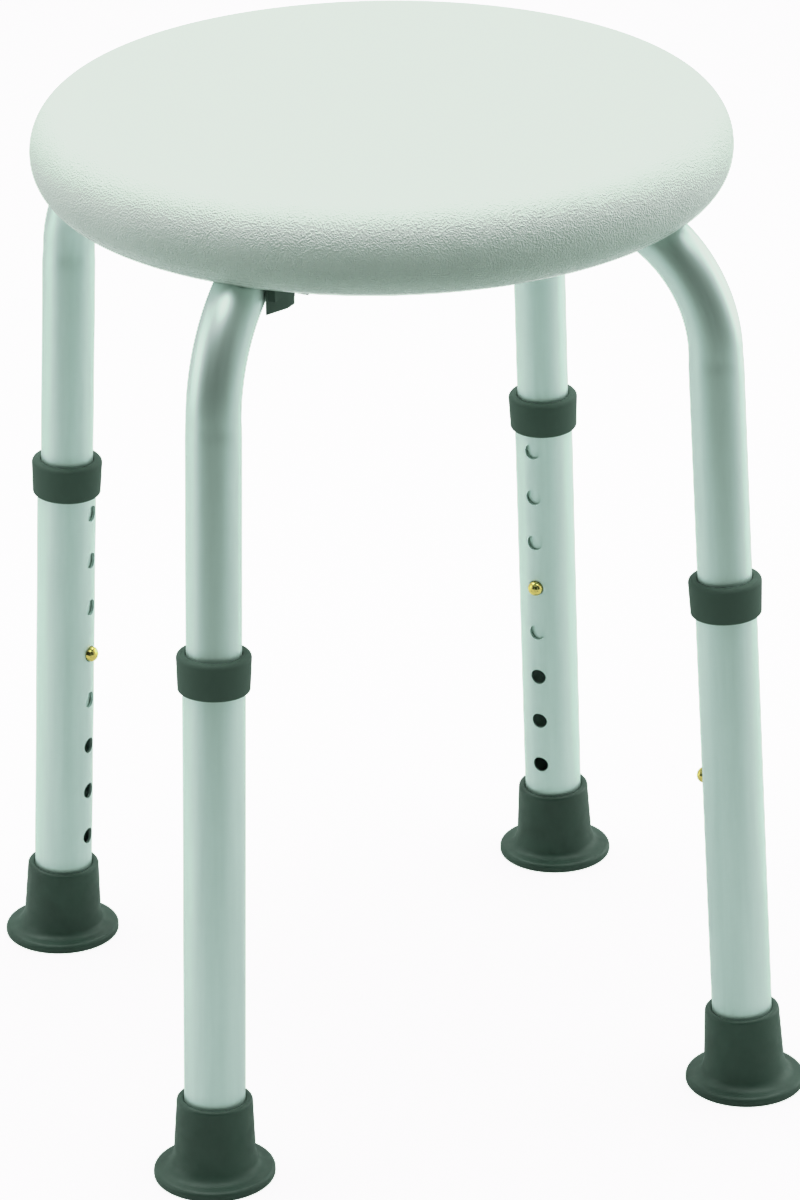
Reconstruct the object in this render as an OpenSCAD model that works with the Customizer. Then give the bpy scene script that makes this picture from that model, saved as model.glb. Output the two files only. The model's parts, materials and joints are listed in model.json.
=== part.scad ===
// Round shower stool with four height-adjustable legs.
// Origin on the floor under the seat's centre, +Z up, legs on the diagonals, -Y is the front.

/* [Seat] */
// Outside diameter of the round seat
seat_d = 325.8; // [270:0.2:392]
// Height of the sitting face, with the buttons in the fourth hole
seat_h = 472; // [430:1:570]
// Depth of the seat, from sitting face to underside
seat_depth = 43.6; // [43.2:0.2:54]
// Rounding of the seat's upper edge
top_edge_r = 22.3; // [16:0.1:23]
// Rounding of the seat's lower edge
low_edge_r = 20.5; // [16:0.1:21]
// Wall of the two moulded seat shells
shell_t = 3; // [2.4:0.1:3.6]
// Height of the seam above the underside
seam_h = 11.8; // [10:0.1:13]
// Gap between the two shells at the seam
seam_gap = 0.2; // [0.1:0.05:0.4]

/* [Upper tubes] */
// Outside diameter of the bent upper tube
upper_d = 25.4; // [21:0.1:30.6]
// Wall of both tubes
tube_t = 1.3; // [1.1:0.1:1.6]
// Centreline radius of the bend
bend_r = 68; // [56:0.5:82]
// How much bending narrows the tube, on the radius
bend_thin = 0.3; // [0.2:0.05:0.5]
// How far the leg's centreline stands outside the seat's edge where the bend starts
leg_out = 6.5; // [2:0.5:12]
// Outward lean of the legs, in degrees
splay = 2.94; // [1.5:0.02:4.5]
// Height of the tube's level run above the seat's underside
run_up = 9.1; // [7:0.1:11]
// Distance of the tube's inner end from the stool's centre
run_end_r = 20; // [18:0.5:26]
// Length of upper tube below the snap button
below_button = 38; // [30:0.5:44]

/* [Lower tubes] */
// Radial gap between upper and lower tube
slide_gap = 0.3; // [0.2:0.05:0.4]
// Distance between the height holes
hole_pitch = 25.4; // [21:0.1:30.5]
// Diameter of the height holes
hole_d = 8; // [7:0.1:9.6]
// Top hole below the top of the collar
hole_drop = 26.9; // [24:0.1:32]
// Straight tube left between the collar and the bend at the lowest setting
bend_clear = 9.8; // [5:0.1:15]

/* [Collars and feet] */
// Height of the collar
collar_h = 18; // [14:0.5:22]
// Wall of the collar at its top
collar_wall = 2.9; // [2.2:0.1:3.5]
// How much narrower the collar is at the bottom, on the radius
collar_taper = 0.6; // [0:0.1:1]
// Thickness of the collar's lip over the tube's end
collar_lip = 2.5; // [2:0.1:3]
// Height of the rubber foot
foot_h = 39.8; // [34:0.2:48]
// Rubber wall at the top of the foot
foot_wall = 3.5; // [2.8:0.1:4.2]
// How much wider the foot is at the bottom, on the radius
foot_taper = 2.4; // [1:0.1:4]
// How far the flange stands out past the cone
flange_out = 8.3; // [6:0.1:10]
// Thickness of the foot's flange
flange_t = 5; // [4:0.1:7]
// Height of the steel washer inside the foot
washer_s = 10.5; // [9:0.1:13]
// Thickness of the washer
washer_t = 1.5; // [1:0.1:2]
// Gap round a tube inside a plastic or rubber piece
grip_gap = 0.1; // [0.05:0.01:0.15]

/* [Snap buttons] */
// Gap between button and hole, on the radius
button_gap = 0.3; // [0.2:0.05:0.4]
// How far the button stands out of the lower tube
button_out = 3.8; // [3:0.1:4.6]
// Width of the leaf spring
spring_w = 6; // [5:0.5:7]
// Thickness of the leaf spring
spring_t = 0.8; // [0.6:0.1:1]

/* [Hub and clips] */
// Radius of the hub that holds the tubes' inner ends
hub_r = 48; // [44:0.5:54]
// Hub below the seat's underside
hub_drop = 7; // [6.8:0.1:9]
// Distance of the hub's screws from the centre
hub_screw_r = 34; // [31:0.5:38]
// Shank radius of the screws
screw_r = 2; // [1.6:0.1:2.2]
// Head radius of the screws
head_r = 4; // [3.4:0.1:4.4]
// Height of the screw heads
head_h = 2.4; // [2:0.1:2.8]
// Sideways distance from the tube's side to each clip screw
clip_screw_out = 8.8; // [8.6:0.1:12]
// Depth of the clip's side wall below the seat
clip_drop = 13.4; // [10:0.1:16]

/* [Hidden] */
seat_r = seat_d / 2;
under_z = seat_h - seat_depth;
seam_z = under_z + seam_h;
ceiling_z = seat_h - shell_t;
tube_r = upper_d / 2;
tube_in_r = tube_r - tube_t;
sleeve_in_r = tube_r + slide_gap;
sleeve_r = sleeve_in_r + tube_t;
hole_r = hole_d / 2;
run_z = under_z + run_up;
bend_z = run_z - bend_r;
bend_start_z = bend_z + bend_r * sin(splay);
bend_start_r = seat_r + leg_out;
bend_c = bend_start_r - bend_r * cos(splay);
foot_r = bend_start_r + bend_start_z * tan(splay);
bend_start_s = bend_start_z / cos(splay);
bend_lap = 1;
steps_shorter = 4;
steps_longer = 3;
collar_top_s = bend_start_s - steps_shorter * hole_pitch - bend_clear;
hole_top_s = collar_top_s - hole_drop;
button_s = hole_top_s - steps_longer * hole_pitch;
tube_end_s = button_s - below_button;
hole_room = hole_top_s - foot_h - hole_r - 6;
hole_n = min(steps_shorter + steps_longer + 1, 1 + floor(hole_room / hole_pitch));
sleeve_low_s = washer_s + washer_t;
sleeve_top_s = collar_top_s - collar_lip;
foot_top_r = sleeve_r + foot_wall;
foot_low_r = foot_top_r + foot_taper;
flange_r = foot_low_r + flange_out;
button_r = hole_r - button_gap;
button_tip = sleeve_r + button_out;
button_base = tube_in_r - 2.6;
dome_h = 2.4;
dome_r = (button_r * button_r + dome_h * dome_h) / (2 * dome_h);
channel_gap = 0.3;
channel_t = 2.5;
hub_low_z = under_z - hub_drop;
hub_top_z = run_z + tube_r + 2.5;
clip_r = bend_c - 8;
clip_top_z = under_z - 0.1;
clip_low_z = run_z - tube_r - 3;
side_y = tube_r + 0.6;
clip_screw_y = tube_r + clip_screw_out;
part_gap = 0.1;
cut_over = 1;
slot_w = 1.2;
slot_l = 4.8;
slot_deep = 1.2;
hub_boss_t = 3;
clip_boss_t = 2.6;
boss_lap = 0.5;
pilot_gap = 0.05;
pilot_depth = 13;
pass_gap = 0.3;
rim_lip_t = 2.7;
rim_lip_h = 4.6;
seam_in_r = seat_r - low_edge_r + sqrt(pow(low_edge_r - shell_t, 2) - pow(low_edge_r - seam_h, 2));
ring_gap = 0.4;
ring_t = 2.5;
hub_edge_r = 3;
hub_hollow_r = 12;
hub_hollow_h = 23;
hub_sink = 8;
leg_screw_len = 10;
clip_screw_len = 20;
clip_half_l = 9;
clip_wall = 3;
ear_t = 4;
ear_half_w = 5.5;
ear_r = 6.5;
rail_h = 7;
side_t = 4;
side_lobe_r = 3.9;
foot_fillet_r = 7.6;
foot_lip_r = 1.8;
tread_h = 1.2;
tread_w = 3;
tread_hollow_r = 8;
washer_hole_r = 5;
button_rim = 1.1;
button_rim_t = 1.2;
spring_top_s = 49;
spring_low_s = -8;
front_left = 225;
front_right = 315;
rear_left = 135;
rear_right = 45;
seat_c = [0.87, 0.9, 0.87];
tube_c = [0.68, 0.76, 0.73];
dark_c = [0.17, 0.22, 0.2];
rubber_c = [0.14, 0.18, 0.16];
brass_c = [0.78, 0.62, 0.32];
steel_c = [0.66, 0.68, 0.7];
fine = 96;
round_fn = 36;

// Quarter region outside a rounded corner, to cut from a square corner
module corner_2d(r) {
  difference() {
    square([r + 1, r + 1]);
    circle(r = r, $fn = 48);
  }
}

// Half section of a round slab with rounded upper and lower edges
module slab_2d(r, z0, z1, top_r, low_r) {
  difference() {
    translate([0, z0]) square([r, z1 - z0]);
    translate([r - top_r, z1 - top_r]) corner_2d(top_r);
    translate([r - low_r, z0 + low_r]) mirror([0, 1]) corner_2d(low_r);
  }
}

// Puts a piece drawn at the floor onto the leaning axis of a leg that points along +X
module on_leg_axis() {
  translate([foot_r, 0, 0]) rotate([0, -splay, 0]) children();
}

// Solid bar along the level run and the bend of an upper tube
module run_and_bend(r, from_r) {
  translate([from_r, 0, run_z]) rotate([0, 90, 0])
    cylinder(r = r, h = bend_c - from_r + bend_lap, $fn = round_fn);
  translate([bend_c, 0, bend_z]) rotate([90, 0, 0]) rotate([0, 0, splay])
    rotate_extrude(angle = 90 - splay, $fn = 64) translate([bend_r, 0])
      circle(r = r - bend_thin, $fn = round_fn);
}

// Solid bar along the whole upper tube
module tube_bar(r, from_s, from_r) {
  run_and_bend(r, from_r);
  on_leg_axis() translate([0, 0, from_s])
    cylinder(r = r, h = bend_start_s - from_s + bend_lap, $fn = round_fn);
}

// Pan-head screw standing on z = 0, head below, shank up
module screw(len) {
  difference() {
    union() {
      translate([0, 0, -head_h]) cylinder(r1 = head_r - 0.5, r2 = head_r, h = head_h, $fn = 24);
      translate([0, 0, -0.2]) cylinder(r = screw_r, h = len + 0.2, $fn = 24);
    }
    for (a = [0, 90]) rotate([0, 0, a]) translate([-slot_w / 2, -slot_l / 2, -head_h - cut_over])
      cube([slot_w, slot_l, slot_deep + cut_over]);
  }
}

module at_all_legs() {
  for (a = [45 : 90 : 315]) rotate([0, 0, a]) children();
}

module at_hub_screws() {
  for (a = [0 : 90 : 270]) rotate([0, 0, a]) translate([hub_screw_r, 0, 0]) children();
}

module at_clip_screws() {
  at_all_legs() for (y = [-1, 1]) translate([clip_r, y * clip_screw_y, 0]) children();
}

// Screw boss that hangs from the seat's ceiling, with its pilot hole
module boss(low_z, wall) {
  translate([0, 0, low_z + part_gap]) difference() {
    cylinder(r = screw_r + wall, h = ceiling_z - low_z - part_gap + boss_lap, $fn = 24);
    translate([0, 0, -cut_over]) cylinder(r = screw_r + pilot_gap, h = pilot_depth + cut_over, $fn = 24);
  }
}

// Upper shell of the seat, with the bosses that the screws bite into
module seat_top() color(seat_c) {
  rotate_extrude($fn = fine) difference() {
    slab_2d(seat_r, under_z, seat_h, top_edge_r, low_edge_r);
    translate([-1, 0])
      slab_2d(seat_r - shell_t + 1, under_z + shell_t, ceiling_z, top_edge_r - shell_t, low_edge_r - shell_t);
    translate([0, under_z - cut_over]) square([seat_r + 1, seam_h + cut_over]);
  }
  at_hub_screws() boss(hub_top_z, hub_boss_t);
  at_clip_screws() boss(under_z + shell_t, clip_boss_t);
}

// Lower shell of the seat, with a channel for each level run and a hole for the hub
module seat_base() color(seat_c) {
  difference() {
    union() {
      rotate_extrude($fn = fine) difference() {
        union() {
          difference() {
            slab_2d(seat_r, under_z, seat_h, top_edge_r, low_edge_r);
            translate([0, seam_z - seam_gap]) square([seat_r + 1, seat_depth]);
            translate([-1, under_z + shell_t])
              slab_2d(seat_r - shell_t + 1, 0, seat_depth, 2, low_edge_r - shell_t);
          }
          translate([seam_in_r - pass_gap - rim_lip_t, seam_z - rim_lip_h])
            square([rim_lip_t, 2 * rim_lip_h]);
        }
        translate([-1, under_z - cut_over]) square([hub_r + ring_gap + 1, seat_depth]);
      }
      translate([0, 0, under_z + 0.5]) difference() {
        cylinder(r = hub_r + ring_gap + ring_t, h = hub_top_z - under_z, $fn = fine);
        translate([0, 0, -cut_over]) cylinder(r = hub_r + ring_gap, h = seat_depth, $fn = fine);
      }
      intersection() {
        at_all_legs() run_and_bend(tube_r + channel_gap + channel_t, hub_r + 1.5);
        rotate_extrude($fn = fine) slab_2d(seat_r - shell_t / 2, under_z + shell_t / 2,
          seat_h - shell_t / 2, top_edge_r - shell_t / 2, low_edge_r - shell_t / 2);
      }
    }
    at_all_legs() run_and_bend(tube_r + channel_gap, hub_r - 5);
    at_all_legs() translate([hub_r - 5, -tube_r - part_gap, under_z - 5])
      cube([bend_c - hub_r + 5 + bend_r * 0.55, upper_d + 2 * part_gap, run_up + 5]);
    at_clip_screws() translate([0, 0, under_z - cut_over])
      cylinder(r = screw_r + pass_gap, h = shell_t + 2 * cut_over, $fn = 24);
  }
}

// Hub that takes the four level runs, with sunk holes for its screws
module leg_hub() color(dark_c) {
  difference() {
    rotate_extrude($fn = fine) slab_2d(hub_r, hub_low_z, hub_top_z, 1, hub_edge_r);
    at_all_legs() translate([run_end_r - 2 * part_gap, 0, run_z]) rotate([0, 90, 0])
      cylinder(r = tube_r + grip_gap, h = hub_r, $fn = round_fn);
    translate([0, 0, hub_low_z - cut_over]) {
      at_hub_screws() cylinder(r = screw_r + pass_gap, h = 60, $fn = 24);
      at_hub_screws() cylinder(r = head_r + 1, h = hub_sink + cut_over, $fn = 24);
      at_all_legs() translate([hub_screw_r, 0, 0])
        cylinder(r = screw_r + grip_gap, h = hub_sink + cut_over, $fn = 24);
      cylinder(r = hub_hollow_r, h = hub_hollow_h + cut_over, $fn = round_fn);
    }
  }
}

module hub_screws() color(steel_c) {
  at_hub_screws() translate([0, 0, hub_low_z + hub_sink]) screw(hub_top_z - hub_low_z + 3);
}

module leg_screws() color(steel_c) {
  at_all_legs() translate([hub_screw_r, 0, hub_low_z]) screw(leg_screw_len);
}

module clip_screws() color(steel_c) {
  at_clip_screws() translate([0, 0, clip_top_z - ear_t]) screw(clip_screw_len);
}

// One-sided saddle that holds the level run against the seat
module leg_clip() {
  difference() {
    union() {
      translate([clip_r - clip_half_l, -tube_r - clip_wall, clip_low_z])
        cube([2 * clip_half_l, 2 * (tube_r + clip_wall), clip_top_z - clip_low_z]);
      translate([clip_r - ear_half_w, -clip_screw_y, clip_top_z - ear_t])
        cube([2 * ear_half_w, 2 * clip_screw_y, ear_t]);
      for (y = [-1, 1]) translate([clip_r, y * clip_screw_y, clip_top_z - ear_t])
        cylinder(r = ear_r, h = ear_t, $fn = 32);
      translate([clip_r - ear_r, side_y, clip_top_z - rail_h])
        cube([bend_c - clip_r + 46, side_t, rail_h]);
      translate([0, 0, under_z - clip_drop]) linear_extrude(clip_drop - part_gap) {
        polygon([[bend_c + 41, side_y], [bend_c + 29, side_y + 4.7], [bend_c + 24, side_y + 4.7],
          [bend_c + 13, side_y]]);
        translate([bend_c + 23.6, side_y + 0.9]) circle(r = side_lobe_r, $fn = 32);
        translate([bend_c + 5, side_y]) square([5.5, 5.2]);
      }
    }
    translate([clip_r - 20, 0, run_z]) rotate([0, 90, 0])
      cylinder(r = tube_r + part_gap, h = bend_c - clip_r + 20, $fn = round_fn);
    translate([bend_c - 1, -tube_r - 10, clip_low_z - 1]) cube([60, tube_r + 10 + side_y, 30]);
    for (y = [-1, 1]) translate([clip_r, y * clip_screw_y, under_z - 20])
      cylinder(r = screw_r + pass_gap, h = 30, $fn = 24);
  }
}

// Bent upper tube with its button hole and its screw hole
module upper_leg() {
  difference() {
    tube_bar(tube_r, tube_end_s, run_end_r);
    tube_bar(tube_in_r, tube_end_s - 1, run_end_r - 1);
    on_leg_axis() translate([0, 0, button_s]) rotate([0, -90, 0]) cylinder(r = hole_r, h = 20, $fn = 24);
    translate([hub_screw_r, 0, run_z - tube_r - 5]) cylinder(r = screw_r + 0.1, h = 12, $fn = 24);
  }
}

// Straight lower tube with its height holes on the inner side
module lower_leg() {
  on_leg_axis() difference() {
    translate([0, 0, sleeve_low_s]) cylinder(r = sleeve_r, h = sleeve_top_s - sleeve_low_s, $fn = round_fn);
    translate([0, 0, sleeve_low_s - 1]) cylinder(r = sleeve_in_r, h = 400, $fn = round_fn);
    for (i = [0 : hole_n - 1]) translate([0, 0, hole_top_s - i * hole_pitch]) rotate([0, -90, 0])
      cylinder(r = hole_r, h = 20, $fn = 24);
  }
}

// Tapered collar, lipped over the lower tube's top end
module collar() {
  top_r = sleeve_r + collar_wall;
  low_s = collar_top_s - collar_h;
  on_leg_axis() rotate_extrude($fn = round_fn) difference() {
    slab_2d(top_r, low_s, collar_top_s, 2.4, 0.8);
    polygon([[top_r - collar_taper, low_s - cut_over], [top_r + cut_over, low_s - cut_over],
      [top_r + cut_over, collar_top_s], [top_r, collar_top_s - 2.4], [top_r - collar_taper, low_s]]);
    translate([-1, low_s - cut_over]) square([sleeve_in_r + 1, collar_h + 2 * cut_over]);
    translate([-1, low_s - cut_over])
      square([sleeve_r + grip_gap + 1, collar_h - collar_lip + cut_over]);
  }
}

// Rubber foot: a leaning cone on a flange that lies flat on the floor
module foot() {
  difference() {
    union() {
      translate([foot_r, 0, 0]) rotate_extrude($fn = round_fn) {
        slab_2d(flange_r, 0, flange_t, 2.2, 1.4);
        difference() {
          translate([0, flange_t - 1]) square([foot_low_r + 6.5, 8]);
          translate([foot_low_r + 6.8, flange_t + 7]) circle(r = foot_fillet_r, $fn = 48);
        }
      }
      on_leg_axis() rotate_extrude($fn = round_fn) {
        polygon([[0, 3], [foot_low_r, 3], [foot_top_r, foot_h - foot_lip_r], [0, foot_h - foot_lip_r]]);
        translate([foot_top_r - foot_lip_r - 0.05, foot_h - foot_lip_r]) circle(r = foot_lip_r, $fn = 32);
      }
    }
    on_leg_axis() translate([0, 0, washer_s]) cylinder(r = sleeve_r + grip_gap, h = foot_h, $fn = round_fn);
    translate([foot_r, 0, -cut_over]) {
      cylinder(r = tread_hollow_r, h = tread_h + 0.4 + cut_over, $fn = round_fn);
      for (r = [12, 18]) difference() {
        cylinder(r = r + tread_w, h = tread_h + cut_over, $fn = round_fn);
        translate([0, 0, -cut_over]) cylinder(r = r, h = 5, $fn = round_fn);
      }
    }
  }
}

// Steel washer under the lower tube's end
module foot_washer() {
  on_leg_axis() translate([0, 0, washer_s + 0.02]) difference() {
    cylinder(r = sleeve_r - grip_gap, h = washer_t - 0.04, $fn = round_fn);
    translate([0, 0, -cut_over]) cylinder(r = washer_hole_r, h = 5, $fn = round_fn);
  }
}

// Domed button with a rim inside the upper tube
module snap_button() {
  on_leg_axis() translate([0, 0, button_s]) rotate([0, -90, 0]) {
    rotate_extrude($fn = 32) {
      intersection() {
        translate([0, button_base]) square([button_r, 20]);
        union() {
          translate([0, button_tip - dome_r]) circle(r = dome_r, $fn = 48);
          translate([0, button_base]) square([button_r + 1, button_tip - dome_r - button_base]);
        }
      }
      translate([0, button_base]) square([button_r + button_rim, button_rim_t]);
    }
  }
}

// Leaf spring folded over at its top: one leaf behind the button, one along the outer wall
module button_spring() {
  near = tube_in_r - 2.7;
  far = tube_in_r - 0.8;
  on_leg_axis() translate([0, 0, button_s]) rotate([90, 0, 0]) linear_extrude(spring_w, center = true)
    polygon([[-near, -7], [-near, 8.2], [far - 2.6, spring_top_s - 2], [far, spring_top_s],
      [far, spring_low_s], [far - spring_t, spring_low_s], [far - spring_t, spring_top_s - 2.4],
      [far - 1.7, spring_top_s - 3.1], [spring_t - near, 7.9], [spring_t - near, -7]]);
}

module upper_leg_front_left() color(tube_c) rotate([0, 0, front_left]) upper_leg();
module upper_leg_front_right() color(tube_c) rotate([0, 0, front_right]) upper_leg();
module upper_leg_rear_left() color(tube_c) rotate([0, 0, rear_left]) upper_leg();
module upper_leg_rear_right() color(tube_c) rotate([0, 0, rear_right]) upper_leg();
module lower_leg_front_left() color(tube_c) rotate([0, 0, front_left]) lower_leg();
module lower_leg_front_right() color(tube_c) rotate([0, 0, front_right]) lower_leg();
module lower_leg_rear_left() color(tube_c) rotate([0, 0, rear_left]) lower_leg();
module lower_leg_rear_right() color(tube_c) rotate([0, 0, rear_right]) lower_leg();
module collar_front_left() color(dark_c) rotate([0, 0, front_left]) collar();
module collar_front_right() color(dark_c) rotate([0, 0, front_right]) collar();
module collar_rear_left() color(dark_c) rotate([0, 0, rear_left]) collar();
module collar_rear_right() color(dark_c) rotate([0, 0, rear_right]) collar();
module foot_front_left() color(rubber_c) rotate([0, 0, front_left]) foot();
module foot_front_right() color(rubber_c) rotate([0, 0, front_right]) foot();
module foot_rear_left() color(rubber_c) rotate([0, 0, rear_left]) foot();
module foot_rear_right() color(rubber_c) rotate([0, 0, rear_right]) foot();
module foot_washer_front_left() color(steel_c) rotate([0, 0, front_left]) foot_washer();
module foot_washer_front_right() color(steel_c) rotate([0, 0, front_right]) foot_washer();
module foot_washer_rear_left() color(steel_c) rotate([0, 0, rear_left]) foot_washer();
module foot_washer_rear_right() color(steel_c) rotate([0, 0, rear_right]) foot_washer();
module snap_button_front_left() color(brass_c) rotate([0, 0, front_left]) snap_button();
module snap_button_front_right() color(brass_c) rotate([0, 0, front_right]) snap_button();
module snap_button_rear_left() color(brass_c) rotate([0, 0, rear_left]) snap_button();
module snap_button_rear_right() color(brass_c) rotate([0, 0, rear_right]) snap_button();
module button_spring_front_left() color(steel_c) rotate([0, 0, front_left]) button_spring();
module button_spring_front_right() color(steel_c) rotate([0, 0, front_right]) button_spring();
module button_spring_rear_left() color(steel_c) rotate([0, 0, rear_left]) button_spring();
module button_spring_rear_right() color(steel_c) rotate([0, 0, rear_right]) button_spring();
module leg_clip_front_left() color(dark_c) rotate([0, 0, front_left]) leg_clip();
module leg_clip_front_right() color(dark_c) rotate([0, 0, front_right]) leg_clip();
module leg_clip_rear_left() color(dark_c) rotate([0, 0, rear_left]) leg_clip();
module leg_clip_rear_right() color(dark_c) rotate([0, 0, rear_right]) leg_clip();

seat_top();
seat_base();
leg_hub();
hub_screws();
leg_screws();
clip_screws();
leg_clip_front_left();
leg_clip_front_right();
leg_clip_rear_left();
leg_clip_rear_right();
upper_leg_front_left();
upper_leg_front_right();
upper_leg_rear_left();
upper_leg_rear_right();
lower_leg_front_left();
lower_leg_front_right();
lower_leg_rear_left();
lower_leg_rear_right();
collar_front_left();
collar_front_right();
collar_rear_left();
collar_rear_right();
foot_front_left();
foot_front_right();
foot_rear_left();
foot_rear_right();
foot_washer_front_left();
foot_washer_front_right();
foot_washer_rear_left();
foot_washer_rear_right();
snap_button_front_left();
snap_button_front_right();
snap_button_rear_left();
snap_button_rear_right();
button_spring_front_left();
button_spring_front_right();
button_spring_rear_left();
button_spring_rear_right();
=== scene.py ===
"""Round shower stool on four telescoping legs: detailed pieces, finishes and a plain studio stage."""
import json
import math

import bpy
from mathutils import Matrix, Vector

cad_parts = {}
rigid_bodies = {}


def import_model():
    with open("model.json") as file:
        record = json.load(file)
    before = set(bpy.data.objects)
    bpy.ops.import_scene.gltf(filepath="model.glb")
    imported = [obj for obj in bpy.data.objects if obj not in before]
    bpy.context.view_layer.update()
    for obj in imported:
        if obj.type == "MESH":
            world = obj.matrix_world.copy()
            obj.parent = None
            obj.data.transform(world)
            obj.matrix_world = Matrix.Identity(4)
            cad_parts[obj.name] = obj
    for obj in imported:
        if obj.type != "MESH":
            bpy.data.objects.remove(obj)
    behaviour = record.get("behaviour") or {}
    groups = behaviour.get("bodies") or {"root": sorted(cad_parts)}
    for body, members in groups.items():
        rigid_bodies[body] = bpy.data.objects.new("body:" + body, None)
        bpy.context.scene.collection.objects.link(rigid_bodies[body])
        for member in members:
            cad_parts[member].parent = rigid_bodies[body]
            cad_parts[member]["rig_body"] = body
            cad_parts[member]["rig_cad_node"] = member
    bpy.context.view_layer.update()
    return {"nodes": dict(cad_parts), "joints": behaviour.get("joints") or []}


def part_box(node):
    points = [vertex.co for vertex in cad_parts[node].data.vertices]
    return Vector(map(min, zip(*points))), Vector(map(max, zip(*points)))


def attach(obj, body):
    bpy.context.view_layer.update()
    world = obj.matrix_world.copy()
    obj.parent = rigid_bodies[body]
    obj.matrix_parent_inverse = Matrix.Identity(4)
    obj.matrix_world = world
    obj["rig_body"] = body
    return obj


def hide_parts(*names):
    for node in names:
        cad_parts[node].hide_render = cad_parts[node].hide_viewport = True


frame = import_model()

bl_info = {
    "name": "Shower stool",
    "version": (1, 0, 0),
    "blender": (4, 5, 0),
    "location": "3D Viewport > Sidebar > Stool",
    "description": "Models a round shower stool with telescoping legs, and its finishes",
    "category": "Object",
}

MM = 0.001
LEGS = {"front_left": 225, "front_right": 315, "rear_left": 135, "rear_right": 45}
TINY = 1e-6

BUTTON_UP = 38 * MM            # button above the upper tube's lower end
HOLE_DOWN = 26.9 * MM          # first height hole below the collar's top
COLLAR_LIP = 2.5 * MM          # collar lip over the lower tube's end
RUN_END_R = 20 * MM            # inner end of the level run, from the stool's centre
STEPS_LONGER = 3               # height holes above the one the button rests in
HOLE_COUNT = 8
TUBE_SIDES = 96
TURN_STEPS = 128
HOLE_DEPTH = 20 * MM
FIT_GAP = 0.1 * MM             # room round the lower tube in its collar and its foot


# ---------------------------------------------------------------- sizes from the frame

def low(node_name):
    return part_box(node_name)[0]


def high(node_name):
    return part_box(node_name)[1]


SEAT_R = high("seat_top").x
SEAT_Z = high("seat_top").z
SEAM_Z = low("seat_top").z
UNDER_Z = low("seat_base").z
HEIGHT_JOINT = next(j for j in frame["joints"] if j["name"] == "height_rear_right")
SPLAY = math.acos(-HEIGHT_JOINT["axis"][2])
FOOT_R = ((low("foot_rear_right") + high("foot_rear_right")) / 2).xy.length
RUN_TOP = high("upper_leg_rear_right").z


class StoolSizes(bpy.types.PropertyGroup):
    """Sizes that a maker would change."""
    edge_top: bpy.props.FloatProperty(
        name="Upper edge", description="Rounding of the seat's upper edge",
        default=22.3 * MM, min=0.01, max=0.03, unit="LENGTH")
    edge_low: bpy.props.FloatProperty(
        name="Lower edge", description="Rounding of the seat's lower edge",
        default=20.5 * MM, min=0.016, max=0.021, unit="LENGTH")
    shell_wall: bpy.props.FloatProperty(
        name="Seat wall", description="Wall of the moulded seat shells",
        default=3 * MM, min=0.002, max=0.004, unit="LENGTH")
    upper_tube: bpy.props.FloatProperty(
        name="Upper tube", description="Outside diameter of the bent upper tubes",
        default=25.4 * MM, min=0.02, max=0.03, unit="LENGTH")
    lower_tube: bpy.props.FloatProperty(
        name="Lower tube", description="Outside diameter of the straight lower tubes",
        default=28.6 * MM, min=0.022, max=0.034, unit="LENGTH")
    tube_wall: bpy.props.FloatProperty(
        name="Tube wall", description="Wall of both tubes",
        default=1.3 * MM, min=0.001, max=0.002, unit="LENGTH")
    bend: bpy.props.FloatProperty(
        name="Bend", description="Centreline radius of the upper tubes' bend",
        default=68 * MM, min=0.05, max=0.09, unit="LENGTH")
    bend_thin: bpy.props.FloatProperty(
        name="Bend narrowing", description="How much bending narrows the tube, on the radius",
        default=0.3 * MM, min=0.0, max=0.0005, unit="LENGTH")
    hole: bpy.props.FloatProperty(
        name="Height hole", description="Diameter of the height holes",
        default=8 * MM, min=0.006, max=0.01, unit="LENGTH")
    hole_pitch: bpy.props.FloatProperty(
        name="Hole pitch", description="Distance between height holes",
        default=25.4 * MM, min=0.02, max=0.03, unit="LENGTH")
    collar_wall: bpy.props.FloatProperty(
        name="Collar wall", description="Wall of the collar at its upper rim",
        default=2.9 * MM, min=0.002, max=0.004, unit="LENGTH")
    collar_taper: bpy.props.FloatProperty(
        name="Collar taper", description="How much less radius the collar has at its lower end",
        default=0.6 * MM, min=0, max=0.002, unit="LENGTH")
    collar_height: bpy.props.FloatProperty(
        name="Collar height", description="Height of the collar",
        default=18 * MM, min=0.012, max=0.024, unit="LENGTH")
    foot_height: bpy.props.FloatProperty(
        name="Foot height", description="Height of the rubber foot along the leg",
        default=39.8 * MM, min=0.03, max=0.05, unit="LENGTH")
    soft_edge: bpy.props.FloatProperty(
        name="Moulded edge", description="Rounding of the edges of the small moulded parts",
        default=0.6 * MM, min=0.0001, max=0.002, unit="LENGTH")


class StoolColours(bpy.types.PropertyGroup):
    """Colours of the stool's finishes."""
    seat: bpy.props.FloatVectorProperty(
        name="Seat", description="Moulded seat plastic", subtype="COLOR", size=3,
        default=(0.70, 0.76, 0.715), min=0, max=1)
    tube: bpy.props.FloatVectorProperty(
        name="Tubes", description="Satin anodised aluminium", subtype="COLOR", size=3,
        default=(0.70, 0.81, 0.775), min=0, max=1)
    plastic: bpy.props.FloatVectorProperty(
        name="Dark plastic", description="Collars, clips and hub", subtype="COLOR", size=3,
        default=(0.024, 0.047, 0.038), min=0, max=1)
    rubber: bpy.props.FloatVectorProperty(
        name="Rubber", description="Feet", subtype="COLOR", size=3,
        default=(0.027, 0.052, 0.04), min=0, max=1)
    brass: bpy.props.FloatVectorProperty(
        name="Brass", description="Snap buttons", subtype="COLOR", size=3,
        default=(0.86, 0.68, 0.22), min=0, max=1)
    steel: bpy.props.FloatVectorProperty(
        name="Steel", description="Screws, washers and springs", subtype="COLOR", size=3,
        default=(0.55, 0.56, 0.57), min=0, max=1)


def sizes():
    return bpy.context.scene.stool_sizes


def colours():
    return bpy.context.scene.stool_colours


# ---------------------------------------------------------------- material helpers

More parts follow.
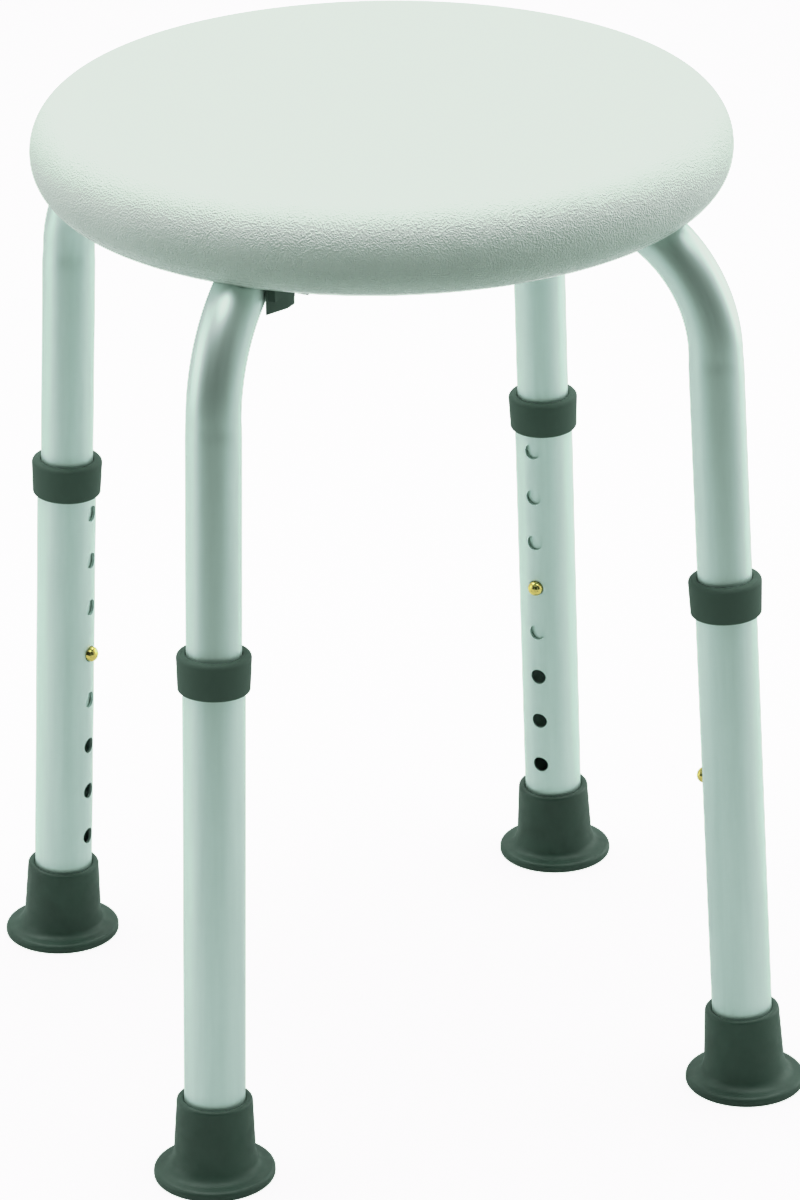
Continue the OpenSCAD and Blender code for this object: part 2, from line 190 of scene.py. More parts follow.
def new_material(name, colour, roughness, metallic=0.0):
    """A Principled material with its even values on the shader's own sockets."""
    material = bpy.data.materials.new(name)
    material.use_nodes = True
    material.diffuse_color = (*colour, 1)
    shader = material.node_tree.nodes["Principled BSDF"]
    shader.inputs["Roughness"].default_value = roughness
    shader.inputs["Metallic"].default_value = metallic
    return material, material.node_tree, shader


def place_vector(tree, source, stretch=(1, 1, 1)):
    """Object coordinates or a named attribute, stretched along its axes."""
    if source == "object":
        out = tree.nodes.new("ShaderNodeTexCoord").outputs["Object"]
    else:
        attribute = tree.nodes.new("ShaderNodeAttribute")
        attribute.attribute_name = source
        out = attribute.outputs["Vector"]
    mapping = tree.nodes.new("ShaderNodeMapping")
    mapping.inputs["Scale"].default_value = stretch
    tree.links.new(out, mapping.inputs["Vector"])
    return mapping.outputs["Vector"]


def noise(tree, vector, scale, detail=2.0, distortion=0.0):
    texture = tree.nodes.new("ShaderNodeTexNoise")
    texture.inputs["Scale"].default_value = scale
    texture.inputs["Detail"].default_value = detail
    texture.inputs["Distortion"].default_value = distortion
    tree.links.new(vector, texture.inputs["Vector"])
    return texture.outputs["Fac"]


def between(tree, value, least, most):
    """Spreads a texture's middle range over two limits."""
    spread = tree.nodes.new("ShaderNodeMapRange")
    spread.inputs["From Min"].default_value = 0.3
    spread.inputs["From Max"].default_value = 0.7
    spread.inputs["To Min"].default_value = least
    spread.inputs["To Max"].default_value = most
    tree.links.new(value, spread.inputs["Value"])
    return spread.outputs["Result"]


def tint(tree, shader, value, colour, dark, light):
    """Varies the colour between a darker and a lighter tone."""
    mix = tree.nodes.new("ShaderNodeMix")
    mix.data_type = "RGBA"
    mix.inputs["A"].default_value = (*[c * dark for c in colour], 1)
    mix.inputs["B"].default_value = (*[min(1, c * light) for c in colour], 1)
    tree.links.new(value, mix.inputs["Factor"])
    tree.links.new(mix.outputs["Result"], shader.inputs["Base Color"])


def bump(tree, shader, height, depth, strength=1.0, under=None):
    relief = tree.nodes.new("ShaderNodeBump")
    relief.inputs["Strength"].default_value = strength
    relief.inputs["Distance"].default_value = depth
    tree.links.new(height, relief.inputs["Height"])
    if under is not None:
        tree.links.new(under, relief.inputs["Normal"])
    tree.links.new(relief.outputs["Normal"], shader.inputs["Normal"])
    return relief.outputs["Normal"]


# ---------------------------------------------------------------- finishes

def seat_grain():
    """Pale moulded plastic with a fine pebbled grain."""
    colour = colours().seat
    material, tree, shader = new_material("seat_grain", colour, 0.46)
    vector = place_vector(tree, "object")
    pebbles = tree.nodes.new("ShaderNodeTexVoronoi")
    pebbles.feature = "SMOOTH_F1"
    pebbles.inputs["Scale"].default_value = 1250
    pebbles.inputs["Smoothness"].default_value = 0.6
    warp = tree.nodes.new("ShaderNodeTexNoise")
    warp.inputs["Scale"].default_value = 300
    shifted = tree.nodes.new("ShaderNodeMixRGB")
    shifted.blend_type = "LINEAR_LIGHT"
    shifted.inputs["Fac"].default_value = 0.0008
    tree.links.new(vector, warp.inputs["Vector"])
    tree.links.new(vector, shifted.inputs["Color1"])
    tree.links.new(warp.outputs["Color"], shifted.inputs["Color2"])
    tree.links.new(shifted.outputs["Color"], pebbles.inputs["Vector"])
    grain = bump(tree, shader, pebbles.outputs["Distance"], 0.5 * MM, 1.0)
    bump(tree, shader, noise(tree, vector, 1900, 3), 0.14 * MM, 0.8, grain)
    tint(tree, shader, between(tree, noise(tree, vector, 34, 4), 0, 1), colour, 0.975, 1.02)
    tree.links.new(between(tree, noise(tree, vector, 90, 3), 0.42, 0.52), shader.inputs["Roughness"])
    return material


def seat_smooth():
    """The same plastic from a smooth side of the mould, its colour lifted a little above the grained
    shell's as painted light on the smooth underside.
    """
    colour = colours().seat
    material, tree, shader = new_material("seat_smooth", colour, 0.24)
    shader.inputs["Coat Weight"].default_value = 0.5
    shader.inputs["Coat Roughness"].default_value = 0.12
    vector = place_vector(tree, "object")
    bump(tree, shader, noise(tree, vector, 55, 2), 0.15 * MM, 0.35)
    # Random tone, and the whole range a few percent above the seat colour: painted light for the
    # brightness that the smooth lower band catches.
    tint(tree, shader, between(tree, noise(tree, vector, 26, 4), 0, 1), colour, 1.01, 1.07)
    tree.links.new(between(tree, noise(tree, vector, 120, 3), 0.2, 0.29), shader.inputs["Roughness"])
    return material


def drawn_tube():
    """Satin anodised tube with the faint lines of drawing along it."""
    colour = colours().tube
    material, tree, shader = new_material("drawn_tube", colour, 0.44, 0.8)
    lines = noise(tree, place_vector(tree, "drawn", (1, 1, 0.012)), 1400, 4)
    broad = noise(tree, place_vector(tree, "drawn", (1, 1, 0.08)), 140, 3)
    specks = noise(tree, place_vector(tree, "drawn"), 2600, 2)
    fine = bump(tree, shader, lines, 0.012 * MM, 0.7)
    bump(tree, shader, specks, 0.006 * MM, 0.5, fine)
    tint(tree, shader, between(tree, broad, 0, 1), colour, 0.96, 1.03)
    tree.links.new(between(tree, lines, 0.41, 0.49), shader.inputs["Roughness"])
    return material


def dark_plastic():
    """Dark moulded plastic, semi-gloss."""
    colour = colours().plastic
    material, tree, shader = new_material("dark_plastic", colour, 0.3)
    shader.inputs["Coat Weight"].default_value = 1.0
    shader.inputs["Coat Roughness"].default_value = 0.08
    vector = place_vector(tree, "object")
    flow = bump(tree, shader, noise(tree, vector, 180, 2), 0.05 * MM, 0.3)
    bump(tree, shader, noise(tree, vector, 2200, 3), 0.012 * MM, 0.6, flow)
    tint(tree, shader, between(tree, noise(tree, vector, 60, 4), 0, 1), colour, 0.9, 1.12)
    tree.links.new(between(tree, noise(tree, vector, 420, 3), 0.26, 0.38), shader.inputs["Roughness"])
    return material


def foot_rubber():
    """Moulded rubber, dull, with a faint dusty bloom."""
    colour = colours().rubber
    material, tree, shader = new_material("foot_rubber", colour, 0.5)
    vector = place_vector(tree, "object")
    skin = bump(tree, shader, noise(tree, vector, 260, 3), 0.06 * MM, 0.35)
    bump(tree, shader, noise(tree, vector, 2400, 3), 0.02 * MM, 0.6, skin)
    tint(tree, shader, between(tree, noise(tree, vector, 45, 5, 0.4), 0, 1), colour, 0.85, 1.3)
    tree.links.new(between(tree, noise(tree, vector, 150, 4), 0.42, 0.58), shader.inputs["Roughness"])
    return material


def turned_brass():
    """Polished brass with faint turning rings."""
    colour = colours().brass
    material, tree, shader = new_material("turned_brass", colour, 0.16, 1.0)
    rings = noise(tree, place_vector(tree, "turned", (1, 0, 0)), 2600, 2)
    cloud = noise(tree, place_vector(tree, "object"), 420, 4)
    bump(tree, shader, rings, 0.01 * MM, 0.5)
    tint(tree, shader, between(tree, cloud, 0, 1), colour, 0.86, 1.08)
    tree.links.new(between(tree, cloud, 0.12, 0.24), shader.inputs["Roughness"])
    return material


def zinc_steel():
    """Zinc-plated steel."""
    colour = colours().steel
    material, tree, shader = new_material("zinc_steel", colour, 0.3, 1.0)
    vector = place_vector(tree, "object")
    spangle = noise(tree, vector, 700, 4)
    bump(tree, shader, spangle, 0.01 * MM, 0.5)
    tint(tree, shader, between(tree, spangle, 0, 1), colour, 0.85, 1.1)
    tree.links.new(between(tree, noise(tree, vector, 300, 3), 0.22, 0.42), shader.inputs["Roughness"])
    return material


FINISHES = {
    "seat_grain": seat_grain, "seat_smooth": seat_smooth, "drawn_tube": drawn_tube,
    "dark_plastic": dark_plastic, "foot_rubber": foot_rubber, "turned_brass": turned_brass,
    "zinc_steel": zinc_steel,
}


def finish(name):
    """The named finish, made the first time it is asked for."""
    return bpy.data.materials.get(name) or FINISHES[name]()


# ---------------------------------------------------------------- modelling helpers

def pick_none():
    """Back to object mode with nothing selected."""
    if bpy.context.mode != "OBJECT":
        bpy.ops.object.mode_set(mode="OBJECT")
    bpy.ops.object.select_all(action="DESELECT")


def pick(piece):
    pick_none()
    piece.select_set(True)
    bpy.context.view_layer.objects.active = piece


def named(name):
    piece = bpy.context.object
    piece.name = name
    piece.data.name = name
    return piece


def settle(piece):
    """Puts the piece's place into its mesh."""
    pick(piece)
    bpy.ops.object.transform_apply(location=True, rotation=True, scale=True)


def arc(centre_r, centre_z, radius, start, end, steps):
    """Points on an arc in the (radius, height) plane, angles in degrees from straight out."""
    turns = [math.radians(start + (end - start) * i / steps) for i in range(steps + 1)]
    return [(centre_r + radius * math.cos(t), centre_z + radius * math.sin(t)) for t in turns]


def turned(name, outline, steps):
    """A closed outline drawn point by point and spun once round the Z axis."""
    pick_none()
    r, z = outline[0]
    bpy.ops.mesh.primitive_plane_add(size=MM, location=(r, 0, z))
    piece = named(name)
    bpy.ops.object.transform_apply(location=True, rotation=True, scale=True)
    bpy.ops.object.mode_set(mode="EDIT")
    bpy.ops.mesh.select_all(action="SELECT")
    bpy.ops.mesh.merge(type="CENTER")
    for here, there in zip(outline, outline[1:] + outline[:1]):
        step = (there[0] - here[0], 0, there[1] - here[1])
        if max(abs(x) for x in step) > TINY:
            bpy.ops.mesh.extrude_region_move(TRANSFORM_OT_translate={"value": step})
    bpy.ops.mesh.select_all(action="SELECT")
    bpy.ops.mesh.spin(steps=steps, angle=math.tau, center=(0, 0, 0), axis=(0, 0, 1))
    close_up()
    return piece


def close_up():
    """Merges doubles and turns every face outwards, then leaves edit mode."""
    bpy.ops.mesh.select_all(action="SELECT")
    bpy.ops.mesh.remove_doubles(threshold=TINY)
    bpy.ops.mesh.normals_make_consistent(inside=False)
    bpy.ops.object.mode_set(mode="OBJECT")


def modify(piece, kind, **values):
    """Adds a modifier, sets it and applies it."""
    pick(piece)
    modifier = piece.modifiers.new(kind.title(), kind)
    for key, value in values.items():
        setattr(modifier, key, value)
    bpy.ops.object.modifier_apply(modifier=modifier.name)


def soften(piece, width, angle=40, segments=2, clamp=True):
    """Rounds every edge sharper than an angle."""
    modify(piece, "BEVEL", width=width, segments=segments, limit_method="ANGLE",
           angle_limit=math.radians(angle), use_clamp_overlap=clamp, miter_outer="MITER_ARC")


def cut(piece, cutter):
    """Cuts the cutter's shape out of the piece and removes the cutter."""
    modify(piece, "BOOLEAN", operation="DIFFERENCE", solver="EXACT", object=cutter)
    bpy.data.objects.remove(cutter)


def to_leg_axis(piece):
    """Moves a piece drawn upright at the centre onto the leaning axis of a leg along +X."""
    piece.rotation_euler = (0, -SPLAY, 0)
    piece.location = (FOOT_R, 0, 0)
    settle(piece)


def dress(piece, material, body, nodes, smooth=35):
    """Shading, finish, body and the CAD nodes that the piece stands for."""
    settle(piece)
    bpy.ops.object.shade_smooth_by_angle(angle=math.radians(smooth))
    piece.data.materials.clear()
    piece.data.materials.append(finish(material))
    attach(piece, body)
    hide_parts(*nodes)


def round_the_legs(master, stem, material, body_stem, node_stem, smooth=35, pattern=None):
    """Copies a piece made for a leg along +X to each of the four legs."""
    for number, (leg, angle) in enumerate(LEGS.items()):
        pick(master)
        bpy.ops.object.duplicate()
        copy = named(f"{stem}_{leg}")
        copy.rotation_euler = (0, 0, math.radians(angle))
        settle(copy)
        if pattern:
            for value in copy.data.attributes[pattern].data:
                value.vector = Vector(value.vector) + Vector((0, 0, number))
        body = f"{body_stem}_{leg}" if body_stem else "frame"
        dress(copy, material, body, [f"{node_stem}_{leg}"], smooth)
    bpy.data.objects.remove(master)


def from_node(name, node_name, width, angle=30, segments=3):
    """A merged copy of a CAD node, with its edges rounded where a width is given."""
    source = frame["nodes"][node_name]
    pick(source)
    bpy.ops.object.duplicate()
    piece = named(name)
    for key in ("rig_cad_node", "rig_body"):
        del piece[key]
    piece.parent = None
    bpy.ops.object.mode_set(mode="EDIT")
    bpy.ops.mesh.select_all(action="SELECT")
    bpy.ops.mesh.remove_doubles(threshold=2 * TINY)
    bpy.ops.mesh.dissolve_limited(angle_limit=math.radians(0.5))
    bpy.ops.object.mode_set(mode="OBJECT")
    if width:
        soften(piece, width, angle, segments)
    return piece


class LegLines:
    """The centreline of a leg that stands along +X."""

    def __init__(self):
        size = sizes()
        self.tube_r = size.upper_tube / 2
        self.sleeve_r = size.lower_tube / 2
        self.sleeve_in_r = self.sleeve_r - size.tube_wall
        self.run_z = RUN_TOP - self.tube_r
        self.bend_z = self.run_z - size.bend
        self.start_z = self.bend_z + size.bend * math.sin(SPLAY)
        self.start_r = FOOT_R - self.start_z * math.tan(SPLAY)
        self.bend_c = self.start_r - size.bend * math.cos(SPLAY)
        self.start_s = self.start_z / math.cos(SPLAY)
        self.end_s = self.along(low("upper_leg_rear_right").z, self.tube_r)
        self.button_s = self.end_s + BUTTON_UP
        self.top_hole_s = self.button_s + STEPS_LONGER * size.hole_pitch
        self.collar_top_s = self.top_hole_s + HOLE_DOWN
        self.sleeve_low_s = self.along(low("lower_leg_rear_right").z, self.sleeve_r)
        self.sleeve_top_s = self.collar_top_s - COLLAR_LIP
        self.up = Vector((-math.sin(SPLAY), 0, math.cos(SPLAY)))
        self.out = Vector((math.cos(SPLAY), 0, math.sin(SPLAY)))
        self.floor = Vector((FOOT_R, 0, 0))

    def along(self, lowest_z, radius):
        """Distance up the leg of a square-cut end whose lowest point is known."""
        return (lowest_z + radius * math.sin(SPLAY)) / math.cos(SPLAY)

    def at(self, s):
        return self.floor + self.up * s


def start_ring(name, radius, place, count):
    """An open ring across the leaning leg, ready to extrude."""
    pick_none()
    bpy.ops.mesh.primitive_circle_add(vertices=count, radius=radius, fill_type="NOTHING",
                                      location=place, rotation=(0, -SPLAY, 0))
    piece = named(name)
    bpy.ops.object.transform_apply(location=True, rotation=True, scale=True)
    bpy.ops.object.mode_set(mode="EDIT")
    bpy.ops.mesh.select_all(action="SELECT")
    return piece


def push(step):
    bpy.ops.mesh.extrude_region_move(TRANSFORM_OT_translate={"value": step})


def pinch(scale, centre):
    bpy.ops.transform.resize(value=(scale, scale, scale), center_override=centre)


def mark_drawn(piece, lines, bend):
    """Stores each point's place on the tube as if it were straight, for the drawing lines."""
    mark = piece.data.attributes.new("drawn", "FLOAT_VECTOR", "POINT")
    quarter = math.pi / 2
    for point, value in zip(piece.data.vertices, mark.data):
        from_floor = point.co - lines.floor
        s = from_floor.dot(lines.up)
        off, along = from_floor.dot(lines.out), s
        if s > lines.start_s:
            turn = math.atan2(point.co.z - lines.bend_z, point.co.x - lines.bend_c)
            if turn < quarter:
                off = math.hypot(point.co.z - lines.bend_z, point.co.x - lines.bend_c) - bend
                along = lines.start_s + bend * (turn - SPLAY)
            else:
                off = point.co.z - lines.run_z
                along = lines.start_s + bend * (quarter - SPLAY) + lines.bend_c - point.co.x
        value.vector = (off, point.co.y, along)


def drill(piece, places, radius, direction, depth):
    """Drills round holes through the tube's inner side."""
    tilt = direction.to_track_quat("Z", "Y").to_euler()
    pick_none()
    for place in places:
        bpy.ops.mesh.primitive_cylinder_add(vertices=48, radius=radius, depth=depth,
                                            location=place + direction * depth / 2, rotation=tilt)
        bit = bpy.context.object
        pick(bit)
        bpy.ops.object.transform_apply(location=True, rotation=True, scale=True)
        cut(piece, bit)


# ---------------------------------------------------------------- pieces

class STOOL_OT_seat_shell(bpy.types.Operator):
    """Models the grained upper shell of the seat"""
    bl_idname = "stool.seat_shell"
    bl_label = "Seat shell"

    def execute(self, context):
        size = sizes()
        wall, top, base = size.shell_wall, size.edge_top, size.edge_low
        lip = 0.5 * MM
        base_r, base_z = SEAT_R - base, UNDER_Z + base
        seam_turn = math.degrees(math.asin((SEAM_Z - base_z) / base))
        inner_turn = math.degrees(math.asin((SEAM_Z - base_z) / (base - wall)))
        seam_r = base_r + base * math.cos(math.radians(seam_turn))
        outline = [(0, SEAT_Z), (0.05, SEAT_Z), (0.09, SEAT_Z), (0.12, SEAT_Z)]
        outline += arc(SEAT_R - top, SEAT_Z - top, top, 90, 0, 28)
        outline += arc(base_r, base_z, base, 0, seam_turn + 1.4, 12)
        outline += [(seam_r - lip * 0.4, SEAM_Z + lip * 0.2), (seam_r - lip * 1.3, SEAM_Z)]
        outline += arc(base_r, base_z, base - wall, inner_turn, 0, 8)
        outline += arc(SEAT_R - top, SEAT_Z - top, top - wall, 0, 90, 14)
        outline += [(0.06, SEAT_Z - wall), (0, SEAT_Z - wall)]
        shell = turned("seat_shell", outline, 192)
        dress(shell, "seat_grain", "frame", ["seat_top"])
        return {"FINISHED"}


class STOOL_OT_seat_pan(bpy.types.Operator):
    """Finishes the smooth underside shell of the seat and its leg recesses"""
    bl_idname = "stool.seat_pan"
    bl_label = "Seat pan"

    def execute(self, context):
        pan = from_node("seat_pan", "seat_base", 0)
        dress(pan, "seat_smooth", "frame", ["seat_base"], 30)
        return {"FINISHED"}


class STOOL_OT_hub(bpy.types.Operator):
    """Rounds the hub that holds the tubes' inner ends"""
    bl_idname = "stool.hub"
    bl_label = "Hub"

    def execute(self, context):
        hub = from_node("hub", "leg_hub", sizes().soft_edge)
        dress(hub, "dark_plastic", "frame", ["leg_hub"])
        return {"FINISHED"}


class STOOL_OT_clips(bpy.types.Operator):
    """Rounds the saddle clips that hold the level runs"""
    bl_idname = "stool.clips"
    bl_label = "Leg clips"

    def execute(self, context):
        for leg in LEGS:
            clip = from_node(f"clip_{leg}", f"leg_clip_{leg}", sizes().soft_edge)
            dress(clip, "dark_plastic", "frame", [f"leg_clip_{leg}"])
        return {"FINISHED"}


class STOOL_OT_fasteners(bpy.types.Operator):
    """Softens the screws, and finishes the springs and washers"""
    bl_idname = "stool.fasteners"
    bl_label = "Screws, springs and washers"

    def execute(self, context):
        for node_name in ("hub_screws", "leg_screws", "clip_screws"):
            screws = from_node(f"{node_name}_set", node_name, 0.15 * MM, 30, 2)
            dress(screws, "zinc_steel", "frame", [node_name])
        for leg in LEGS:
            for stem in ("button_spring", "foot_washer"):
                part = frame["nodes"][f"{stem}_{leg}"]
                part.data.materials.clear()
                part.data.materials.append(finish("zinc_steel"))
        return {"FINISHED"}


class STOOL_OT_upper_tubes(bpy.types.Operator):
    """Models the four bent upper tubes"""
    bl_idname = "stool.upper_tubes"
    bl_label = "Upper tubes"

    def execute(self, context):
        size, lines = sizes(), LegLines()
        tube = start_ring("upper_tube", lines.tube_r, lines.at(lines.end_s), TUBE_SIDES)
        steps, settle_in = 6, 9 * MM
        rises = [30, 4, 2, 2, 2, 2, 2, 4] + [20] * 8
        risen = sum(rises) * MM
        rises.append((lines.start_s - settle_in - lines.end_s - risen) / MM)
        for rise in rises:
            push(lines.up * rise * MM)
        radius = lines.tube_r
        for i in range(1, steps + 1):
            share = i / steps
            narrowed = lines.tube_r - size.bend_thin * share * share * (3 - 2 * share)
            push(lines.up * settle_in / steps)
            pinch(narrowed / radius, lines.at(lines.start_s - settle_in * (1 - share)))
            radius = narrowed
        bpy.ops.mesh.spin(steps=44, angle=math.pi / 2 - SPLAY, center=(lines.bend_c, 0, lines.bend_z),
                          axis=(0, 1, 0))
        push((-settle_in, 0, 0))
        pinch(lines.tube_r / radius, (lines.bend_c - settle_in, 0, lines.run_z))
        run = lines.bend_c - settle_in - RUN_END_R
        for _ in range(4):
            push((-run / 4, 0, 0))
        close_up()
        modify(tube, "SOLIDIFY", thickness=size.tube_wall, offset=-1, use_even_offset=True)
        drill(tube, [lines.at(lines.button_s)], size.hole / 2, -lines.out, HOLE_DEPTH)
        soften(tube, 0.2 * MM, 60)
        mark_drawn(tube, lines, size.bend)
        round_the_legs(tube, "upper_tube", "drawn_tube", None, "upper_leg", 40, "drawn")
        return {"FINISHED"}


class STOOL_OT_lower_tubes(bpy.types.Operator):
    """Models the four straight lower tubes with their height holes"""
    bl_idname = "stool.lower_tubes"
    bl_label = "Lower tubes"

    def execute(self, context):
        size, lines = sizes(), LegLines()
        tube = start_ring("lower_tube", lines.sleeve_r, lines.at(lines.sleeve_low_s), TUBE_SIDES)
        length = lines.sleeve_top_s - lines.sleeve_low_s
        count = round(length / (2.2 * MM))
        for _ in range(count):
            push(lines.up * length / count)
        close_up()
        modify(tube, "SOLIDIFY", thickness=size.tube_wall, offset=-1, use_even_offset=True)
        holes = [lines.at(lines.top_hole_s - i * size.hole_pitch) for i in range(HOLE_COUNT)]
        drill(tube, holes, size.hole / 2, -lines.out, HOLE_DEPTH)
        mark_drawn(tube, lines, size.bend)
        round_the_legs(tube, "lower_tube", "drawn_tube", "lower", "lower_leg", 40, "drawn")
        return {"FINISHED"}


class STOOL_OT_collars(bpy.types.Operator):
    """Models the four collars"""
    bl_idname = "stool.collars"
    bl_label = "Collars"

    def execute(self, context):
        size, lines = sizes(), LegLines()
        top, rim_r = lines.collar_top_s, lines.sleeve_r + size.collar_wall
        foot_s = top - size.collar_height
        foot_r = rim_r - size.collar_taper
        edge, toe, inner_edge, lead_in = 2.3 * MM, 0.9 * MM, 0.7 * MM, 0.3 * MM
        mouth = lines.sleeve_in_r
        bore_r = lines.sleeve_r + FIT_GAP
        outline = arc(mouth + inner_edge, top - inner_edge, inner_edge, 180, 90, 5)
        outline += arc(rim_r - edge, top - edge, edge, 90, 0, 12)
        outline += arc(foot_r - toe, foot_s + toe, toe, 0, -90, 6)
        outline += [(bore_r + lead_in, foot_s), (bore_r, foot_s + lead_in)]
        outline += [(bore_r, lines.sleeve_top_s), (mouth, lines.sleeve_top_s)]
        collar = turned("collar", outline, TURN_STEPS)
        to_leg_axis(collar)
        round_the_legs(collar, "collar_ring", "dark_plastic", "lower", "collar")
        return {"FINISHED"}


class STOOL_OT_feet(bpy.types.Operator):
    """Models the four flanged rubber feet"""
    bl_idname = "stool.feet"
    bl_label = "Feet"

    def execute(self, context):
        size, lines = sizes(), LegLines()
        top_r = lines.sleeve_r + 3.5 * MM
        low_r = top_r + 2.4 * MM
        flange_r = low_r + 8.3 * MM
        flange, lip, height = 5 * MM, 1.75 * MM, size.foot_height
        bore_r, bore_s = lines.sleeve_r + FIT_GAP, lines.sleeve_low_s - 1.5 * MM
        fillet = 5 * MM
        groove, land = 1.1 * MM, 0.4 * MM
        outline = [(0, 1.5 * MM), (7.6 * MM, 1.5 * MM), (8.2 * MM, 0)]
        for inner in (12 * MM, 18 * MM):
            outline += [(inner - land, 0), (inner + land, groove), (inner + 3 * MM - land, groove),
                        (inner + 3 * MM + land, 0)]
        outline += arc(flange_r - 1.4 * MM, 1.4 * MM, 1.4 * MM, -90, 0, 6)
        outline += arc(flange_r - 2.2 * MM, flange - 2.4 * MM, 2.2 * MM, 0, 82, 8)
        outline += arc(low_r + fillet - 0.2 * MM, flange + fillet, fillet, 265, 188, 10)
        cone_top = height - lip
        for i in range(1, 10):
            share = i / 9
            outline.append((low_r - 0.9 * MM + (top_r + 0.9 * MM - low_r) * share,
                            flange + fillet + (cone_top - flange - fillet) * share))
        outline += arc(top_r - lip, cone_top, lip, 12, 165, 10)
        outline += [(bore_r, cone_top - 1 * MM), (bore_r, 20 * MM), (bore_r, bore_s), (0, bore_s)]
        foot = turned("foot", outline, TURN_STEPS)
        self.lean(foot, flange)
        foot.location = (FOOT_R, 0, 0)
        settle(foot)
        round_the_legs(foot, "rubber_foot", "foot_rubber", "lower", "foot")
        return {"FINISHED"}

    def lean(self, foot, flange):
        """Leans the cone and the bore with the leg and leaves the flange flat on the floor."""
        pick(foot)
        layer, blend = 0.02 * MM, 4 * MM
        rings = {}
        for point in foot.data.vertices:
            rings.setdefault(round(point.co.z / layer), []).append(point.index)
        for key, members in rings.items():
            above = key * layer - flange + 0.5 * MM
            if above < 0:
                continue
            share = min(1.0, above / blend)
            turn = Matrix.Rotation(-SPLAY * share, 4, "Y")
            for index in members:
                foot.data.vertices[index].co = turn @ foot.data.vertices[index].co


class STOOL_OT_buttons(bpy.types.Operator):
    """Models the four domed brass snap buttons"""
    bl_idname = "stool.buttons"
    bl_label = "Snap buttons"

    def execute(self, context):
        size, lines = sizes(), LegLines()
        button_r = size.hole / 2 - 0.3 * MM
        tip = lines.sleeve_r + 3.8 * MM
        base = lines.tube_r - size.tube_wall - 2.6 * MM
        dome = 2.4 * MM
        dome_r = (button_r ** 2 + dome ** 2) / (2 * dome)
        turn = math.degrees(math.asin((dome_r - dome) / dome_r))
        flange_r, flange = button_r + 1.1 * MM, 1.2 * MM
        outline = [(0, base), (flange_r - 0.2 * MM, base), (flange_r, base + 0.2 * MM),
                   (flange_r, base + flange - 0.2 * MM), (flange_r - 0.2 * MM, base + flange),
                   (button_r, base + flange)]
        edge = arc(0, tip - dome_r, dome_r, turn + 4, 90, 16)
        outline += [(button_r, tip - dome - 0.35 * MM), (button_r - 0.05 * MM, tip - dome - 0.1 * MM)]
        outline += edge
        button = turned("button", outline, 64)
        mark = button.data.attributes.new("turned", "FLOAT_VECTOR", "POINT")
        for point, value in zip(button.data.vertices, mark.data):
            value.vector = (point.co.xy.length, 0, point.co.z)
        button.rotation_euler = (0, -SPLAY - math.pi / 2, 0)
        button.location = lines.at(lines.button_s)
        settle(button)
        round_the_legs(button, "brass_button", "turned_brass", "button", "snap_button", 45)
        return {"FINISHED"}


# ---------------------------------------------------------------- stage

